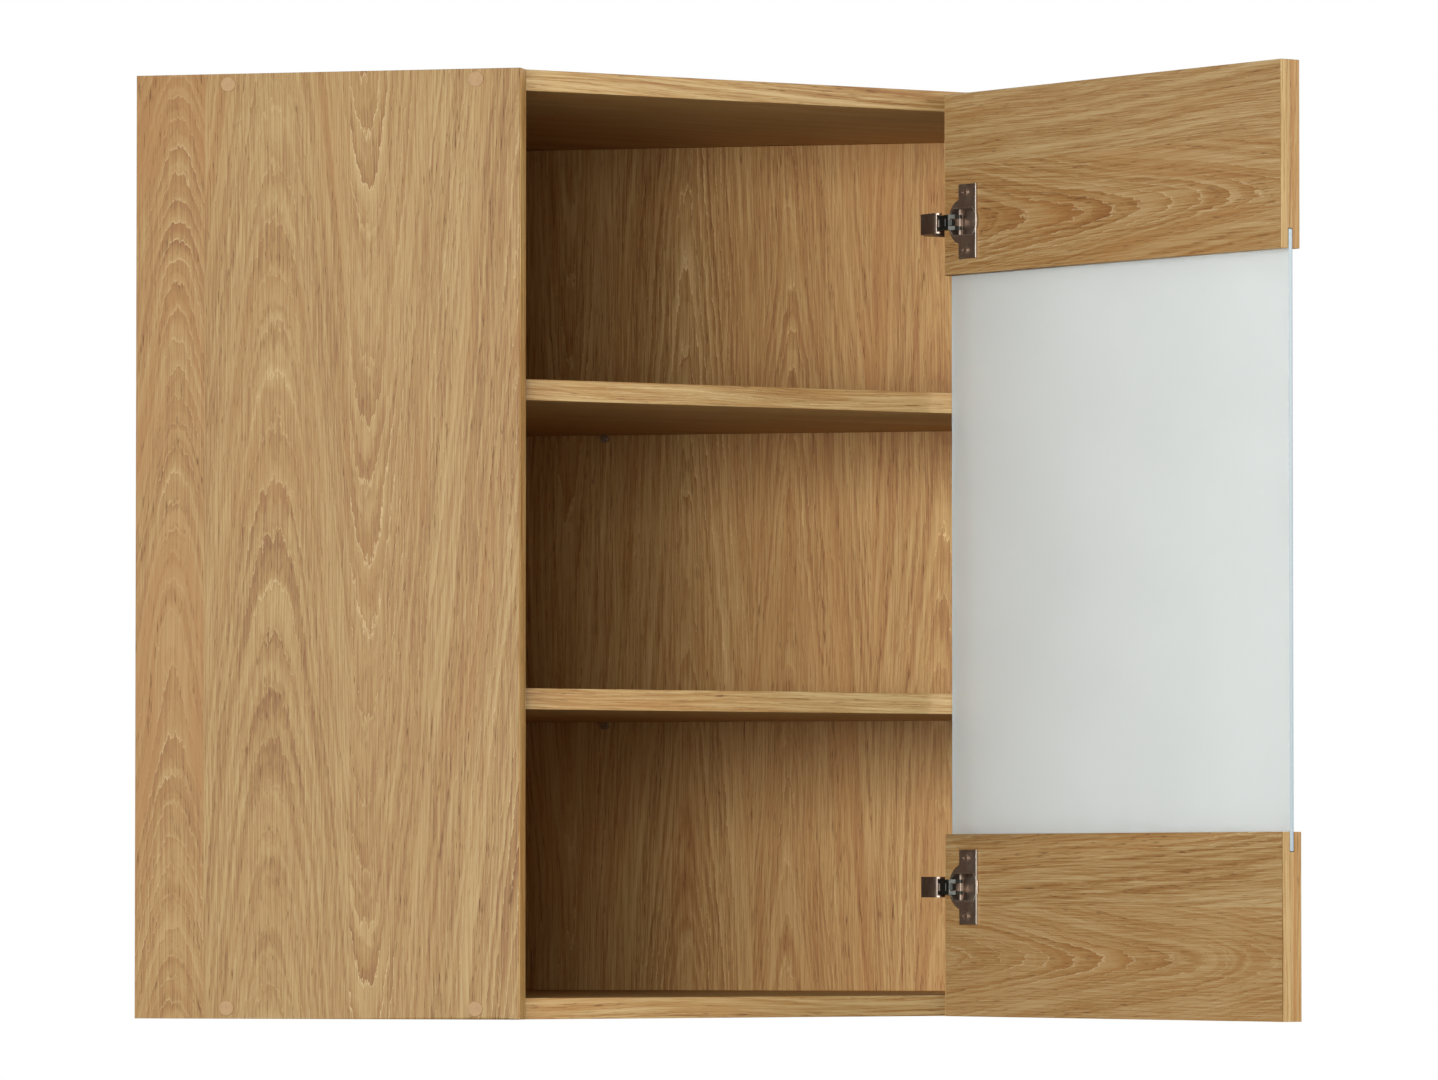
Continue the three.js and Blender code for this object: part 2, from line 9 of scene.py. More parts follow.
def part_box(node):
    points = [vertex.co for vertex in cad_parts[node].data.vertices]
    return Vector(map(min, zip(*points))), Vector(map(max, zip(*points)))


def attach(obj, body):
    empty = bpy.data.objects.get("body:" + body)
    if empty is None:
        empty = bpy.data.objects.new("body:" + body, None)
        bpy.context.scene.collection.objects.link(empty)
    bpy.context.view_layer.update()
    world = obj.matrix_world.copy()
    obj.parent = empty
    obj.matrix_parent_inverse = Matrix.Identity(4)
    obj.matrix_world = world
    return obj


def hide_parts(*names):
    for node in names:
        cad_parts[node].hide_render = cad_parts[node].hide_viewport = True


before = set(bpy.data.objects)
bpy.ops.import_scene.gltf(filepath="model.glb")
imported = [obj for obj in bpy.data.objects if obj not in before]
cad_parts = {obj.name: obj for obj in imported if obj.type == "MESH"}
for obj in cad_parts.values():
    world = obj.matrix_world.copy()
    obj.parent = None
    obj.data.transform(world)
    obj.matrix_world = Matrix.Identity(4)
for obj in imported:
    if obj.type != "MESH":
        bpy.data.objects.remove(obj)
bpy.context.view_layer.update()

MM = 0.001

# Places that the pieces are worked out from.
WALL_WIDTH = 600 * MM
BACK_FACE = 23 * MM  # front face of a back panel, from its wall
SIDE_DEPTH = 304 * MM
DOOR_WIDTH = 401.58 * MM
DOOR_BOARD = 18 * MM
DOOR_TURN = math.radians(-39)  # the open door's width direction, from the x axis
BAND = 0.9 * MM  # thickness of an edge band
ROUNDING = 0.45 * MM  # edge radius of a board
SHARP_ANGLE = math.radians(50)

X_AXIS = Vector((1, 0, 0))
Y_AXIS = Vector((0, 1, 0))
Z_AXIS = Vector((0, 0, 1))
ALONG_FRONT = Vector((1, 1, 0)).normalized()  # from the left front corner to the hinge corner
OUT_OF_FRONT = Vector((1, -1, 0)).normalized()
ALONG_DOOR = Vector((math.cos(DOOR_TURN), math.sin(DOOR_TURN), 0))  # from the hinge edge
INTO_DOOR = Z_AXIS.cross(ALONG_DOOR)  # from the inner face to the outer


def door_corner():
    """The hinge edge of the open door's inner face, at its lower end."""
    low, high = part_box("door_bottom_rail")
    # The box of the turned rail starts at its inner hinge corner in x.
    return Vector((low.x, high.y - INTO_DOOR.y * DOOR_BOARD, low.z))


DOOR_CORNER = door_corner()


# Node trees.


def linear(red, green, blue):
    """A colour from its 8-bit sRGB values."""
    channels = []
    for value in (red, green, blue):
        share = value / 255
        channels.append(share / 12.92 if share < 0.04045 else ((share + 0.055) / 1.055) ** 2.4)
    return (*channels, 1.0)


class Tree:
    """A material's node tree. Each method adds one node and returns its output."""

    def __init__(self, name):
        self.material = bpy.data.materials.new(name)
        self.material.use_nodes = True
        self.nodes = self.material.node_tree.nodes
        self.links = self.material.node_tree.links
        self.nodes.clear()

    def add(self, kind, inputs=None, output=0, **settings):
        node = self.nodes.new("ShaderNode" + kind)
        for key, value in settings.items():
            setattr(node, key, value)
        for key, value in (inputs or {}).items():
            if isinstance(value, bpy.types.NodeSocket):
                self.links.new(value, node.inputs[key])
            else:
                node.inputs[key].default_value = value
        return node.outputs[output]

    def maths(self, operation, *values):
        return self.add("Math", dict(enumerate(values)), operation=operation)

    def times_plus(self, a, b, c):
        return self.maths("MULTIPLY_ADD", a, b, c)

    def point(self, x, y, z):
        return self.add("CombineXYZ", {0: x, 1: y, 2: z})

    def axes(self, place=None):
        """The three coordinates of the frame place, in metres."""
        at = self.add("TexCoord", output="Object")
        if place:
            turned = {"Location": place.to_translation(), "Rotation": place.to_euler()}
            at = self.add("Mapping", {"Vector": at, **turned}, vector_type="TEXTURE")
        return [self.add("SeparateXYZ", {0: at}, output=i) for i in range(3)]

    def noise(self, vector, scale=1.0, detail=2.0, roughness=0.5, distortion=0.0):
        sizes = {
            "Vector": vector,
            "Scale": scale,
            "Detail": detail,
            "Roughness": roughness,
            "Distortion": distortion,
        }
        return self.add("TexNoise", sizes)

    def clamped(self, value, from_low, from_high, to_low=0.0, to_high=1.0):
        sizes = {0: value, 1: from_low, 2: from_high, 3: to_low, 4: to_high}
        return self.add("MapRange", sizes, clamp=True)

    def ramp(self, factor, stops):
        """A colour ramp through (position, colour) stops."""
        output = self.add("ValToRGB", {0: factor})
        elements = output.node.color_ramp.elements
        while len(elements) < len(stops):
            elements.new(0.5)
        for element, (position, colour) in zip(elements, stops):
            element.position = position
            element.color = colour
        return output

    def mix(self, factor, a, b, blend="MIX"):
        inputs = {0: factor, 6: a, 7: b}
        return self.add("Mix", inputs, output=2, data_type="RGBA", blend_type=blend)

    def bump(self, height, strength, distance):
        sizes = {"Height": height, "Strength": strength, "Distance": distance}
        return self.add("Bump", sizes)

    def surface(self, **sockets):
        """Ends the tree in one Principled shader and returns the material."""
        names = {name.replace("_", " "): value for name, value in sockets.items()}
        shader = self.add("BsdfPrincipled", names)
        end = self.nodes.new("ShaderNodeOutputMaterial")
        self.links.new(shader, end.inputs["Surface"])
        return self.material


WOOD_TONES = [
    (0.0, linear(140, 91, 46)),
    (0.3, linear(168, 127, 72)),
    (0.52, linear(186, 153, 99)),
    (0.75, linear(199, 168, 115)),
    (1.0, linear(215, 187, 138)),
]
WOOD_AMBER = linear(173, 122, 64)
WOOD_PORE = linear(112, 72, 40)
PLAIN_TINT = (1.0, 1.0, 1.0)
# Partly the side panels' own tone and partly painted shade: they are darkened against the strong light
# that falls on them.
SIDE_TINT_AND_PAINTED_SHADE = (0.735, 0.74, 0.72)
SIDE_BAND_TINT = (1.0, 0.97, 0.9)
# Painted light: the back panels are made lighter and warmer than the other boards, standing in for the
# light and bounce inside the cabinet.
BACK_PAINTED_LIGHT = (1.29, 1.23, 1.11)
# Partly the rails' own hue and partly painted shade: the rails are darkened against the front light
# that falls on them.
RAIL_TINT_AND_PAINTED_SHADE = (0.81, 0.84, 0.95)
LEVEL_BAND_TINT = (1.0, 1.05, 1.16)
ARCH_POWER = 2.5  # 2 gives pointed arches, more gives rounder ones
SKEW = 0.7  # how far the grain moves across a board for each step into it


class Plank(NamedTuple):
    """One plank of a board. Sizes are in metres across the grain of the board's frame."""

    edge: float  # where it starts
    pith: float  # the middle of its arches
    taper: float  # how the arches climb along the grain
    swell: float  # how much they bunch
    depth: float  # how far the pith lies under the face
    rings: float  # rings per metre
    contrast: float  # how strongly they show
    warmth: float  # how amber the plank is


class Grain:
    """The wood of one board in the frame place: x runs across the grain and z along it."""

    def __init__(self, tree, place, planks, seed):
        self.tree = tree
        self.planks = planks
        across, under, self.along = tree.axes(place)
        self.across = tree.times_plus(under, SKEW, across)
        self.steps = [tree.maths("GREATER_THAN", self.across, plank.edge) for plank in planks[1:]]
        self.layer = seed  # each plank has its own slice of every noise
        for i, step in enumerate(self.steps):
            self.layer = tree.times_plus(step, 1.7 + 0.31 * i, self.layer)

    def of_plank(self, field):
        """A field of whichever plank the point is in."""
        values = [getattr(plank, field) for plank in self.planks]
        value = values[0]
        for step, before, after in zip(self.steps, values, values[1:]):
            value = self.tree.times_plus(step, after - before, value)
        return value

    def noise(self, x, width, length, **looks):
        """Noise about zero, its patches width wide in x and length long along the grain."""
        t = self.tree
        place = t.point(t.maths("DIVIDE", x, width), self.layer, t.maths("DIVIDE", self.along, length))
        return t.maths("SUBTRACT", t.noise(place, **looks), 0.5)


def growth_rings(t, grain, wander):
    """Wavy cones about each plank's pith, cut by the face: the distance through them, and the
    lightening by their early and late wood."""
    across = grain.across
    off = t.times_plus(wander, 0.024, t.maths("SUBTRACT", across, grain.of_plank("pith")))
    aside = t.maths("POWER", t.maths("ABSOLUTE", off), ARCH_POWER)
    deep = t.maths("POWER", grain.of_plank("depth"), ARCH_POWER)
    radius = t.maths("POWER", t.maths("ADD", aside, deep), 1 / ARCH_POWER)
    climb = t.times_plus(grain.along, grain.of_plank("taper"), radius)
    near = t.clamped(radius, 0.006, 0.050, 1.0, 0.10)
    bunch = t.maths("MULTIPLY", near, grain.noise(across, 0.4, 0.22, detail=1.0))
    cone = t.times_plus(bunch, grain.of_plank("swell"), climb)
    jag = grain.noise(across, 0.0034, 0.018, detail=3.0, roughness=0.62)
    cone = t.times_plus(jag, 0.0042, cone)

    count = t.maths("MULTIPLY", cone, grain.of_plank("rings"))
    turn = t.maths("FRACT", count)
    late = t.maths("POWER", turn, 1.5)
    early = t.clamped(turn, 0.0, 0.10, 1.0, 0.0)
    each = t.noise(t.point(t.maths("MULTIPLY", count, 0.43), grain.layer, 0.0), detail=0.0)
    fade = t.clamped(grain.noise(across, 0.05, 0.25, detail=2.0), -0.16, 0.14)
    strength = t.maths("MULTIPLY", grain.of_plank("contrast"), t.maths("MULTIPLY", fade, each))
    strength = t.maths("MULTIPLY", strength, t.times_plus(near, 0.75, 0.25))
    rings = t.maths("SUBTRACT", t.maths("MULTIPLY", early, 1.15), t.maths("MULTIPLY", late, 0.62))
    return cone, t.maths("MULTIPLY", t.maths("ADD", rings, 0.18), strength)


def wood(name, place, planks, tint_and_painted_light=PLAIN_TINT, seed=0.0):
    """Oak laminate on a board with the frame place. The seed picks its noise."""
    t = Tree(name)
    grain = Grain(t, place, planks, seed)
    wander = grain.noise(grain.across, 0.09, 0.34, detail=1.0)
    cone, rings = growth_rings(t, grain, wander)

    # Streaks follow the rings; fibres and pores run along the board.
    lean = t.times_plus(wander, 0.020, grain.across)
    broad = grain.noise(cone, 0.022, 0.9, detail=2.0)
    middle = grain.noise(cone, 0.0034, 0.40, detail=3.0, roughness=0.66)
    fibre = grain.noise(lean, 0.0010, 0.070, detail=3.0, roughness=0.7)
    dash = grain.noise(lean, 0.0009, 0.014, detail=1.0)
    tone = t.times_plus(broad, 0.40, 0.40)
    tone = t.times_plus(middle, 0.95, tone)
    tone = t.times_plus(fibre, 1.42, tone)
    tone = t.maths("ADD", tone, rings)
    colour = t.ramp(tone, WOOD_TONES)
    amber = grain.noise(cone, 0.035, 0.30, detail=3.0, roughness=0.6)
    amber = t.maths("ADD", grain.of_plank("warmth"), t.clamped(amber, 0.0, 0.2, 0.0, 0.45))
    colour = t.mix(amber, colour, WOOD_AMBER)
    pore = t.maths("MULTIPLY", t.clamped(dash, 0.10, 0.22), t.clamped(middle, 0.08, -0.12))
    colour = t.mix(t.maths("MULTIPLY", pore, 0.85), colour, WOOD_PORE)
    # The tint multiplies the colour: on the back panels it is painted light, and on the side panels
    # and door rails it is partly painted shade.
    colour = t.mix(1.0, colour, (*tint_and_painted_light, 1.0), "MULTIPLY")
    height = t.times_plus(pore, -0.8, t.times_plus(fibre, 0.5, t.maths("MULTIPLY", rings, 0.3)))
    gloss = t.times_plus(fibre, 0.16, t.times_plus(pore, 0.12, 0.50))
    return t.surface(
        Base_Color=colour,
        Roughness=gloss,
        Normal=t.bump(height, 0.16, 0.00025),
        Specular_IOR_Level=0.26,
    )


def metal(name, colour, roughness, lines=(0.0004, 0.02, 0.0004), depth=0.10, grime=0.25):
    """Plated or bare steel with fine rolling lines and duller patches."""
    t = Tree(name)
    place = t.add("TexCoord", output="Object")
    axes = [t.add("SeparateXYZ", {0: place}, output=i) for i in range(3)]
    stretched = t.point(*(t.maths("DIVIDE", axis, size) for axis, size in zip(axes, lines)))
    brushed = t.noise(stretched, detail=2.0)
    patches = t.noise(place, scale=140.0, detail=3.0, roughness=0.6)
    dark = tuple(channel * 0.55 for channel in colour[:3]) + (1.0,)
    share = t.clamped(patches, 0.42, 0.72, 0.0, grime)
    shine = t.times_plus(t.maths("SUBTRACT", brushed, 0.5), 0.22, roughness)
    return t.surface(
        Base_Color=t.mix(share, colour, dark),
        Metallic=1.0,
        Roughness=t.times_plus(share, 0.4, shine),
        Normal=t.bump(brushed, depth, 0.0001),
    )


def frosted_glass():
    """Float glass with a finely etched face: it blurs what lies behind it."""
    t = Tree("frosted_glass")
    place = t.add("TexCoord", output="Object")
    grain = t.noise(place, scale=5200.0, detail=2.0)
    cloud = t.noise(place, scale=9.0, detail=3.0)
    colour = t.mix(t.clamped(cloud, 0.3, 0.7), linear(228, 232, 231), linear(232, 236, 235))
    return t.surface(
        Base_Color=colour,
        Roughness=t.times_plus(t.maths("SUBTRACT", grain, 0.5), 0.08, 0.52),
        Normal=t.bump(grain, 0.12, 0.00005),
        Transmission_Weight=0.68,
        IOR=1.45,
    )


def glass_edge():
    """The ground and polished edge of the pane, with the green of thick glass."""
    t = Tree("glass_edge")
    place = t.add("TexCoord", output="Object")
    lines = t.noise(place, scale=1400.0, detail=2.0)
    colour = t.mix(lines, linear(146, 162, 168), linear(172, 186, 190))
    return t.surface(Base_Color=colour, Roughness=0.28, Normal=t.bump(lines, 0.1, 0.0001))


def plastic(name, colour, roughness):
    """Moulded plastic with a fine grained skin."""
    t = Tree(name)
    place = t.add("TexCoord", output="Object")
    grain = t.noise(place, scale=2600.0, detail=2.0)
    patches = t.noise(place, scale=300.0, detail=2.0)
    darker = tuple(channel * 0.86 for channel in colour[:3]) + (1.0,)
    return t.surface(
        Base_Color=t.mix(t.clamped(patches, 0.35, 0.7), colour, darker),
        Roughness=t.times_plus(t.maths("SUBTRACT", grain, 0.5), 0.2, roughness),
        Normal=t.bump(grain, 0.25, 0.0001),
    )


# Mesh work.


def frame_at(origin, across, along):
    """A piece's own frame: x across the grain, z along it."""
    deep = along.cross(across)
    turn = Matrix((across, deep, along)).transposed().to_4x4()
    return Matrix.Translation(origin) @ turn


def cad_mesh(node):
    """A CAD node's mesh, welded, with each flat face whole again."""
    mesh = bmesh.new()
    mesh.from_mesh(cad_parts[node].data)
    bmesh.ops.remove_doubles(mesh, verts=mesh.verts, dist=1e-6)
    bmesh.ops.dissolve_limit(
        mesh, angle_limit=math.radians(0.5), verts=mesh.verts[:], edges=mesh.edges[:]
    )
    return mesh


def round_edges(mesh, radius):
    """Rounds every edge whose faces turn by more than the sharp angle."""
    edges = []
    for edge in mesh.edges:
        if len(edge.link_faces) == 2 and edge.calc_face_angle() > SHARP_ANGLE:
            edges.append(edge)
    bmesh.ops.bevel(
        mesh,
        geom=edges,
        offset=radius,
        segments=2,
        profile=0.5,
        affect="EDGES",
        clamp_overlap=True,
    )


def halves(mesh, point, normal):
    """What lies behind the plane and what lies in front of it, both closed at the cut."""
    parts = []
    for behind in (True, False):
        part = mesh.copy()
        geometry = part.verts[:] + part.edges[:] + part.faces[:]
        cut = bmesh.ops.bisect_plane(
            part,
            geom=geometry,
            plane_co=point,
            plane_no=normal,
            clear_outer=behind,
            clear_inner=not behind,
        )
        rim = [item for item in cut["geom_cut"] if isinstance(item, bmesh.types.BMEdge)]
        bmesh.ops.holes_fill(part, edges=rim, sides=0)
        parts.append(part)
    return parts


def finish_piece(name, mesh, body, material):
    """A bmesh as a named piece that rides on a body."""
    data = bpy.data.meshes.new(name)
    bmesh.ops.recalc_face_normals(mesh, faces=mesh.faces[:])
    mesh.to_mesh(data)
    mesh.free()
    data.materials.append(material)
    piece = bpy.data.objects.new(name, data)
    bpy.context.scene.collection.objects.link(piece)
    for face in data.polygons:
        face.use_smooth = True
    weighted = piece.modifiers.new("even_faces", "WEIGHTED_NORMAL")
    weighted.keep_sharp = True
    weighted.weight = 100
    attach(piece, body)
    return piece


def board(node, body, material, bands=()):
    """A CAD board with rounded edges. Each band is (point, normal, material): the strip within a
    band's thickness of that face becomes its own piece."""
    mesh = cad_mesh(node)
    round_edges(mesh, ROUNDING)
    for i, (point, normal, band_material) in enumerate(bands):
        mesh, strip = halves(mesh, point - normal * BAND, normal)
        finish_piece(f"{node}_band_{i + 1}", strip, body, band_material)
    piece = finish_piece(node + "_board", mesh, body, material)
    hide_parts(node)
    return piece


# The carcass boards.

# Planks across each board, in the order of their edges.
LEFT_PANEL_PLANKS = [
    Plank(0.0, 0.031, 0.20, 0.060, 0.014, 215, 1.7, 0.30),
    Plank(0.0546, 0.108, 0.110, 0.012, 0.020, 230, 0.7, 0.0),
    Plank(0.170, 0.183, -0.090, 0.016, 0.012, 220, 1.2, 0.12),
    Plank(0.232, 0.315, 0.110, 0.024, 0.012, 210, 1.1, 0.06),
]
SIDE_PLANKS = [
    Plank(-0.4, -0.26, 0.060, 0.012, 0.010, 220, 0.7, 0.0),
    Plank(-0.19, -0.15, 0.100, 0.018, 0.008, 210, 1.1, 0.1),
    Plank(-0.11, -0.06, -0.060, 0.010, 0.012, 230, 0.6, 0.0),
]
BACK_PLANKS = [
    Plank(0.0, 0.08, 0.05, 0.010, 0.010, 220, 0.6, 0.0),
    Plank(0.150, 0.19, -0.06, 0.010, 0.008, 210, 0.8, 0.1),
    Plank(0.235, 0.29, 0.08, 0.013, 0.006, 220, 1.0, 0.0),
    Plank(0.345, 0.375, 0.10, 0.016, 0.006, 210, 1.0, 0.12),
    Plank(0.445, 0.50, 0.07, 0.012, 0.008, 220, 0.8, 0.0),
]
LEVEL_PLANKS = [
    Plank(-0.9, -0.70, 0.05, 0.012, 0.008, 220, 0.8, 0.0),
    Plank(-0.62, -0.52, 0.06, 0.012, 0.006, 210, 0.9, 0.1),
    Plank(-0.44, -0.38, -0.06, 0.012, 0.006, 220, 0.8, 0.0),
    Plank(-0.27, -0.20, 0.06, 0.012, 0.008, 210, 0.8, 0.08),
]
RAIL_PLANKS = [
    Plank(-0.1, 0.045, 0.12, 0.026, 0.012, 230, 1.2, 0.15),
    Plank(0.085, 0.150, 0.06, 0.014, 0.012, 240, 0.8, 0.0),
]
EDGE_PLANKS = [Plank(-2.0, 0.03, 0.03, 0.008, 0.006, 220, 0.8, 0.0)]

# The free end of the door shows a darker line between its outer layer and its inner one.
FREE_END = SKEW * DOOR_WIDTH  # the inner face there, across the grain of the end's band
OUTER_LAYER = EDGE_PLANKS[0]._replace(warmth=0.15)
DOOR_BAND_PLANKS = [
    OUTER_LAYER,
    OUTER_LAYER._replace(edge=FREE_END - 12.3 * MM, warmth=0.9),
    OUTER_LAYER._replace(edge=FREE_END - 10.8 * MM, warmth=0.0),
]


def upright_boards():
    """The side and back panels: vertical grain, with a band on each side panel's front edge."""
    left = frame_at(-Y_AXIS * WALL_WIDTH, X_AXIS, Z_AXIS)
    right = frame_at(X_AXIS * WALL_WIDTH, Y_AXIS, Z_AXIS)
    band = wood("side_band_wood", left, EDGE_PLANKS, tint_and_painted_light=SIDE_BAND_TINT, seed=12.3)
    finish = wood("left_panel_wood", left, LEFT_PANEL_PLANKS, tint_and_painted_light=SIDE_TINT_AND_PAINTED_SHADE, seed=0.4)
    front = (X_AXIS * SIDE_DEPTH, X_AXIS, band)
    board("left_side_panel", "carcass", finish, [front])
    finish = wood("right_panel_wood", right, SIDE_PLANKS, tint_and_painted_light=SIDE_TINT_AND_PAINTED_SHADE, seed=5.2)
    front = (-Y_AXIS * SIDE_DEPTH, -Y_AXIS, band)
    board("right_side_panel", "carcass", finish, [front])
    across_back = frame_at(-Y_AXIS * BACK_FACE, X_AXIS, Z_AXIS)
    finish = wood("right_back_wood", across_back, BACK_PLANKS, tint_and_painted_light=BACK_PAINTED_LIGHT, seed=8.6)
    board("right_back_panel", "carcass", finish)
    across_back = frame_at(X_AXIS * BACK_FACE - Y_AXIS * WALL_WIDTH, Y_AXIS, Z_AXIS)
    finish = wood("left_back_wood", across_back, BACK_PLANKS, tint_and_painted_light=BACK_PAINTED_LIGHT, seed=17.9)
    board("left_back_panel", "carcass", finish)


def level_boards():
    """Bottom, top and shelves: grain along the diagonal front, with a band on the front edge."""
    for i, node in enumerate(["bottom_panel", "lower_shelf", "upper_shelf", "top_panel"]):
        low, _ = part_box(node)
        flat = frame_at(Z_AXIS * low.z, OUT_OF_FRONT, ALONG_FRONT)
        finish = wood(node + "_wood", flat, LEVEL_PLANKS, seed=3.1 + 2.3 * i)
        reach = max(OUT_OF_FRONT.dot(v.co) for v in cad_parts[node].data.vertices)
        upright = frame_at(Z_AXIS * low.z, Z_AXIS, ALONG_FRONT)
        band = wood(node + "_band_wood", upright, EDGE_PLANKS, LEVEL_BAND_TINT, 31.7 + 1.9 * i)
        front = (OUT_OF_FRONT * reach, OUT_OF_FRONT, band)
        board(node, "carcass", finish, [front])


def door_rails():
    """The two rails: grain along the door's width, with bands on both upright ends."""
    upright = frame_at(DOOR_CORNER, ALONG_DOOR.cross(Z_AXIS), Z_AXIS)
    band = wood("door_band_wood", upright, DOOR_BAND_PLANKS, seed=44.1)
    for i, node in enumerate(["door_bottom_rail", "door_top_rail"]):
        low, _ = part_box(node)
        place = frame_at(DOOR_CORNER + Z_AXIS * low.z, Z_AXIS, ALONG_DOOR)
        finish = wood(node + "_wood", place, RAIL_PLANKS, tint_and_painted_light=RAIL_TINT_AND_PAINTED_SHADE, seed=21.0 + 3.3 * i)
        free = (DOOR_CORNER + ALONG_DOOR * DOOR_WIDTH, ALONG_DOOR, band)
        hinged = (DOOR_CORNER, -ALONG_DOOR, band)
        board(node, "door", finish, [free, hinged])


def door_pane():
    mesh = cad_mesh("door_glass")
    round_edges(mesh, 0.6 * MM)
    piece = finish_piece("frosted_pane", mesh, "door", frosted_glass())
    piece.data.materials.append(glass_edge())
    facing = ALONG_DOOR.cross(Z_AXIS)
    for face in piece.data.polygons:
        if abs(face.normal.dot(facing)) < 0.5:
            face.material_index = 1
    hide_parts("door_glass")


upright_boards()
level_boards()
door_rails()
door_pane()


# The fittings.

nickel = metal("hinge_nickel", linear(174, 157, 143), 0.42)
dark_steel = metal("link_steel", linear(74, 75, 71), 0.46)
zinc = metal("screw_zinc", linear(190, 187, 180), 0.34)
bright_pin = metal("pin_steel", linear(205, 203, 200), 0.20)
hanger = metal("hanger_steel", linear(182, 182, 180), 0.42)
cap_tan = plastic("cap_plastic", linear(165, 128, 81), 0.55)
# Painted highlight: a lighter copy of the hinge steel for the cup rims and lips, standing in for the
# light they catch.
painted_highlight_steel = metal("painted_highlight_steel", linear(226, 220, 210), 0.38)


def refined(node, body, material, rounding):
    """A CAD fitting with its sharp edges rounded."""
    mesh = cad_mesh(node)
    round_edges(mesh, rounding)
    piece = finish_piece(node + "_piece", mesh, body, material)
    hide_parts(node)
    return piece


# The hinge cups, in millimetres: x from the door's hinge edge, y from its inner face towards its
# outer one, and z from the middle of the hinge.
HINGE_HEIGHTS = {"lower_hinge": 100, "upper_hinge": 616}  # middles, from the door's lower end
WELL_UPPER_HALF = [(39, 5.6), (35.4, 10.2), (13, 10.2), (7.9, 4.4)]
WELL_MIDDLE = 23.4
RIM_SCALES = (1.02, 1.075)  # inner and outer outline of the rim, from the well's
RIM_FOOT = -1.1
RIM_TOP = -1.6
LIP_X = (40.2, 41.0)
LIP_Y = (-1.9, -0.1)
LIP_Z = (-28.8, 28.8)


def door_point(x, y, z):
    """A point of the open door, in millimetres from its lower inner hinge corner."""
    return DOOR_CORNER + (ALONG_DOOR * x + INTO_DOOR * y + Z_AXIS * z) * MM


def cup_rim(hinge, height):
    """The raised rim pressed up round the well of a cup, in a brighter steel that paints its
    highlight.
    """
    outline = WELL_UPPER_HALF + [(x, -z) for x, z in reversed(WELL_UPPER_HALF)]
    inner, outer = RIM_SCALES
    mesh = bmesh.new()
    loops = []
    for scale, y in [(inner, RIM_FOOT), (inner, RIM_TOP), (outer, RIM_TOP), (outer, RIM_FOOT)]:
        loop = []
        for x, z in outline:
            point = door_point(WELL_MIDDLE + (x - WELL_MIDDLE) * scale, y, height + z * scale)
            loop.append(mesh.verts.new(point))
        loops.append(loop)
    for first, second in zip(loops, loops[1:] + loops[:1]):
        for i in range(len(outline)):
            mesh.faces.new((first[i - 1], first[i], second[i], second[i - 1]))
    finish_piece(hinge + "_cup_rim", mesh, "door", painted_highlight_steel)


def cup_lip(hinge, height):
    """The upturned long edge of a cup's flange, in a brighter steel that paints its highlight."""
    mesh = bmesh.new()
    for x in LIP_X:
        for y in LIP_Y:
            for z in LIP_Z:
                mesh.verts.new(door_point(x, y, height + z))
    bmesh.ops.convex_hull(mesh, input=mesh.verts[:])
    finish_piece(hinge + "_cup_lip", mesh, "door", painted_highlight_steel)


def recoloured(node, material):
    """A CAD node that keeps its shape and takes a material."""
    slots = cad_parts[node].data.materials
    slots.clear()
    slots.append(material)


for hinge, height in HINGE_HEIGHTS.items():
    cup_rim(hinge, height)
    cup_lip(hinge, height)
    refined(hinge + "_cup", "door", nickel, 0.18 * MM)
    refined(hinge + "_outer_link", "outer_links", dark_steel, 0.15 * MM)
    refined(hinge + "_inner_link", "inner_links", dark_steel, 0.15 * MM)
    refined(hinge + "_arm", "carcass", nickel, 0.2 * MM)
    refined(hinge + "_mounting_plate", "carcass", nickel, 0.25 * MM)
    recoloured(hinge + "_cup_wire", nickel)
    recoloured(hinge + "_arm_pin", nickel)
    for level in ("low", "high"):
        recoloured(f"{hinge}_cup_screw_{level}", nickel)
        recoloured(f"{hinge}_plate_screw_{level}", zinc)

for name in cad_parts:
    if name.endswith("_cap"):
        refined(name, "carcass", cap_tan, 0.3 * MM)
    elif name.endswith(("_front_screw", "_rear_screw")):
        recoloured(name, zinc)
    elif "_shelf_pin_" in name:
        refined(name, "carcass", bright_pin, 0.3 * MM)
    elif name.endswith("_hanging_plate"):
        refined(name, "carcass", hanger, 0.3 * MM)


# Studio: camera, soft light, pale floor.


LIT_POINT = Vector((0.36, -0.36, 0.36))
# Each light: name, degrees to the right of straight ahead, degrees up, distance, size, watts.
LIGHTS = [
    ("key", -11, 2, 4.2, (2.1, 1.1), 113),
    ("front", 5, 3, 4.2, (1.3, 1.0), 52),
    ("right", 80, 8, 4.5, (2.0, 1.8), 89),
    ("back_left", -125, 25, 4.5, (2.0, 2.0), 55),
    ("back_right", 150, 25, 4.5, (2.0, 2.0), 55),
]
AMBIENT = 0.29  # the world's light on the object, where the camera sees pure white
FLOOR_LEVEL = -1.4
FLOOR_REACH = 60
FLOOR_GLOW = 0.42


def camera(scene):
    """The viewpoint: from the front and a little right, below the cabinet's middle."""
    lens = bpy.data.cameras.new("camera")
    lens.lens = 233.4
    lens.sensor_width = 36
    lens.clip_end = 60
    viewer = bpy.data.objects.new("camera", lens)
    viewer.location = (2.129, -7.4007, 0.0985)
    viewer.rotation_euler = (math.radians(90 + 2.144), 0, math.radians(13.8))
    scene.collection.objects.link(viewer)
    scene.camera = viewer


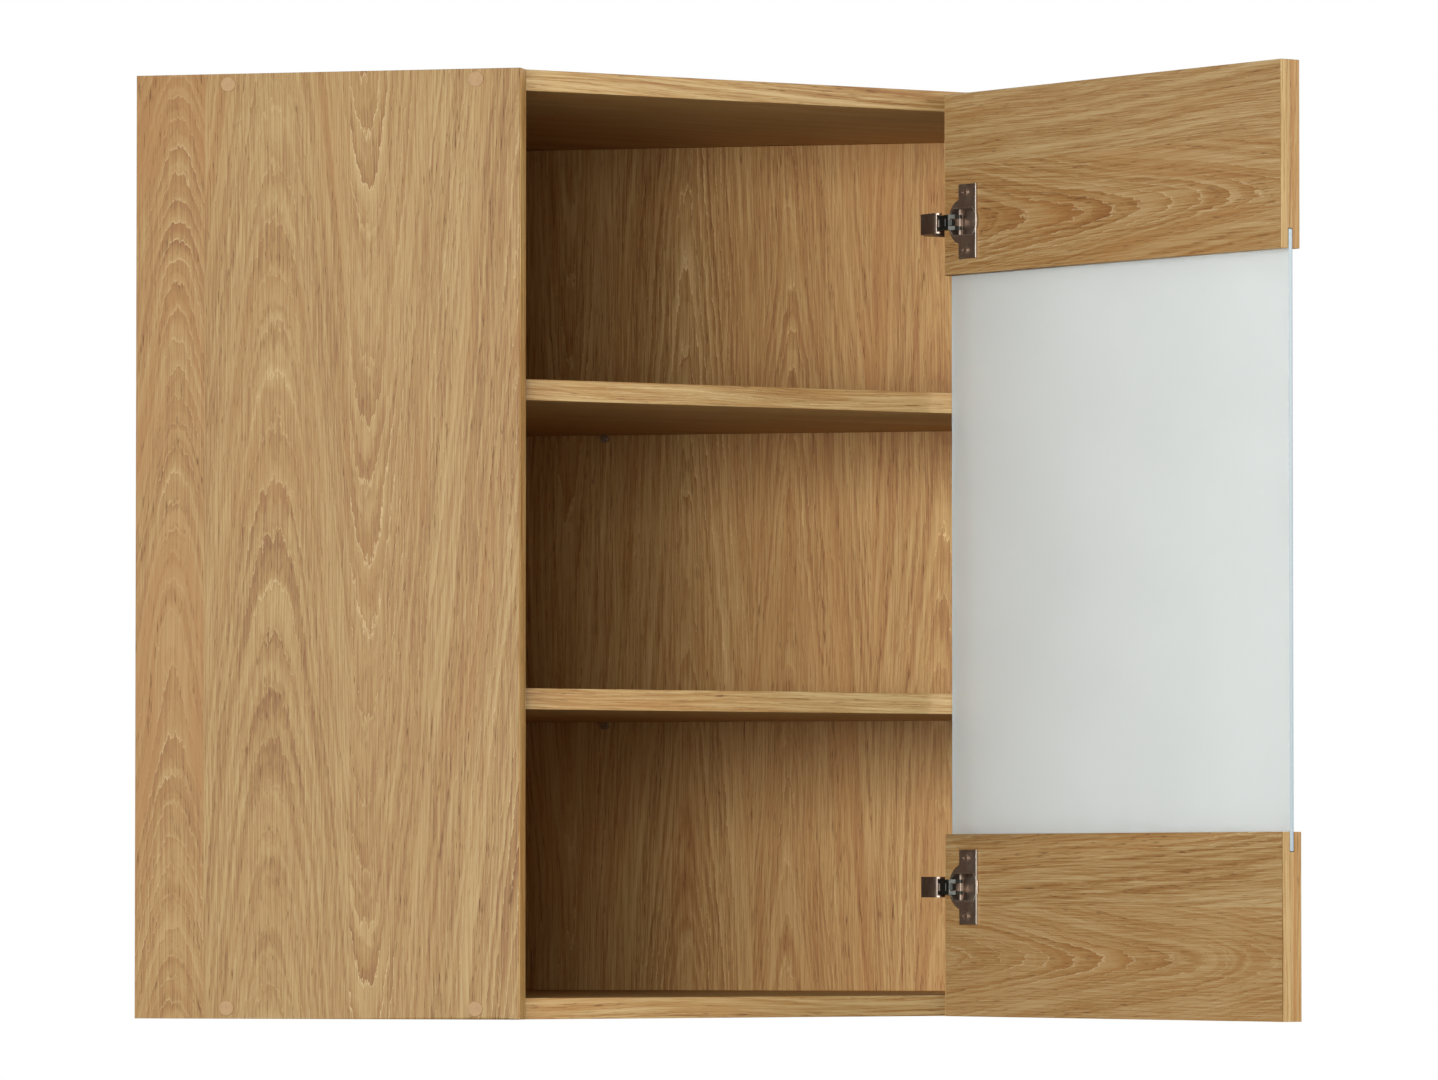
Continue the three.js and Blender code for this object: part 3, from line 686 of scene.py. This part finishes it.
def soft_lights(scene):
    for name, side, rise, distance, size, watts in LIGHTS:
        data = bpy.data.lights.new(name, "AREA")
        data.shape = "RECTANGLE"
        data.size, data.size_y = size
        data.energy = watts
        lamp = bpy.data.objects.new(name, data)
        side = math.radians(side)
        rise = math.radians(rise)
        level = Vector((math.sin(side), -math.cos(side), 0))
        away = level * math.cos(rise) + Z_AXIS * math.sin(rise)
        lamp.location = LIT_POINT + away * distance
        lamp.rotation_euler = away.to_track_quat("Z", "Y").to_euler()
        lamp.visible_camera = False
        scene.collection.objects.link(lamp)


def backdrop(scene):
    """A world that is white to the camera and through glass, and dimmer as a light."""
    world = bpy.data.worlds.new("studio")
    scene.world = world
    world.use_nodes = True
    nodes, links = world.node_tree.nodes, world.node_tree.links
    background = nodes["Background"]
    background.inputs["Color"].default_value = (1.0, 1.0, 1.0, 1.0)
    ray = nodes.new("ShaderNodeLightPath")
    seen = nodes.new("ShaderNodeMath")
    seen.operation = "MAXIMUM"
    strength = nodes.new("ShaderNodeMapRange")
    strength.inputs["To Min"].default_value = AMBIENT
    strength.inputs["To Max"].default_value = 1.0
    links.new(ray.outputs["Is Camera Ray"], seen.inputs[0])
    links.new(ray.outputs["Is Transmission Ray"], seen.inputs[1])
    links.new(seen.outputs[0], strength.inputs["Value"])
    links.new(strength.outputs[0], background.inputs["Strength"])


def pale_floor(scene):
    """A floor that is seen but throws no light back, so it doesn't brighten the undersides."""
    t = Tree("floor_paint")
    place = t.add("TexCoord", output="Object")
    speckle = t.noise(place, scale=60.0, detail=2.0)
    paint = t.surface(
        Base_Color=t.mix(speckle, linear(236, 236, 234), linear(240, 240, 238)),
        Roughness=0.9,
        Emission_Color=(1.0, 1.0, 1.0, 1.0),
        Emission_Strength=FLOOR_GLOW,
    )
    grid = bmesh.new()
    bmesh.ops.create_grid(grid, x_segments=2, y_segments=2, size=FLOOR_REACH)
    data = bpy.data.meshes.new("floor")
    grid.to_mesh(data)
    grid.free()
    data.materials.append(paint)
    floor = bpy.data.objects.new("floor", data)
    floor.location = (0.3, -0.3, FLOOR_LEVEL)
    floor.visible_diffuse = False
    floor.visible_glossy = False
    scene.collection.objects.link(floor)


def studio():
    scene = bpy.context.scene
    scene.view_settings.view_transform = "Standard"
    scene.view_settings.look = "None"
    camera(scene)
    soft_lights(scene)
    backdrop(scene)
    pale_floor(scene)


studio()
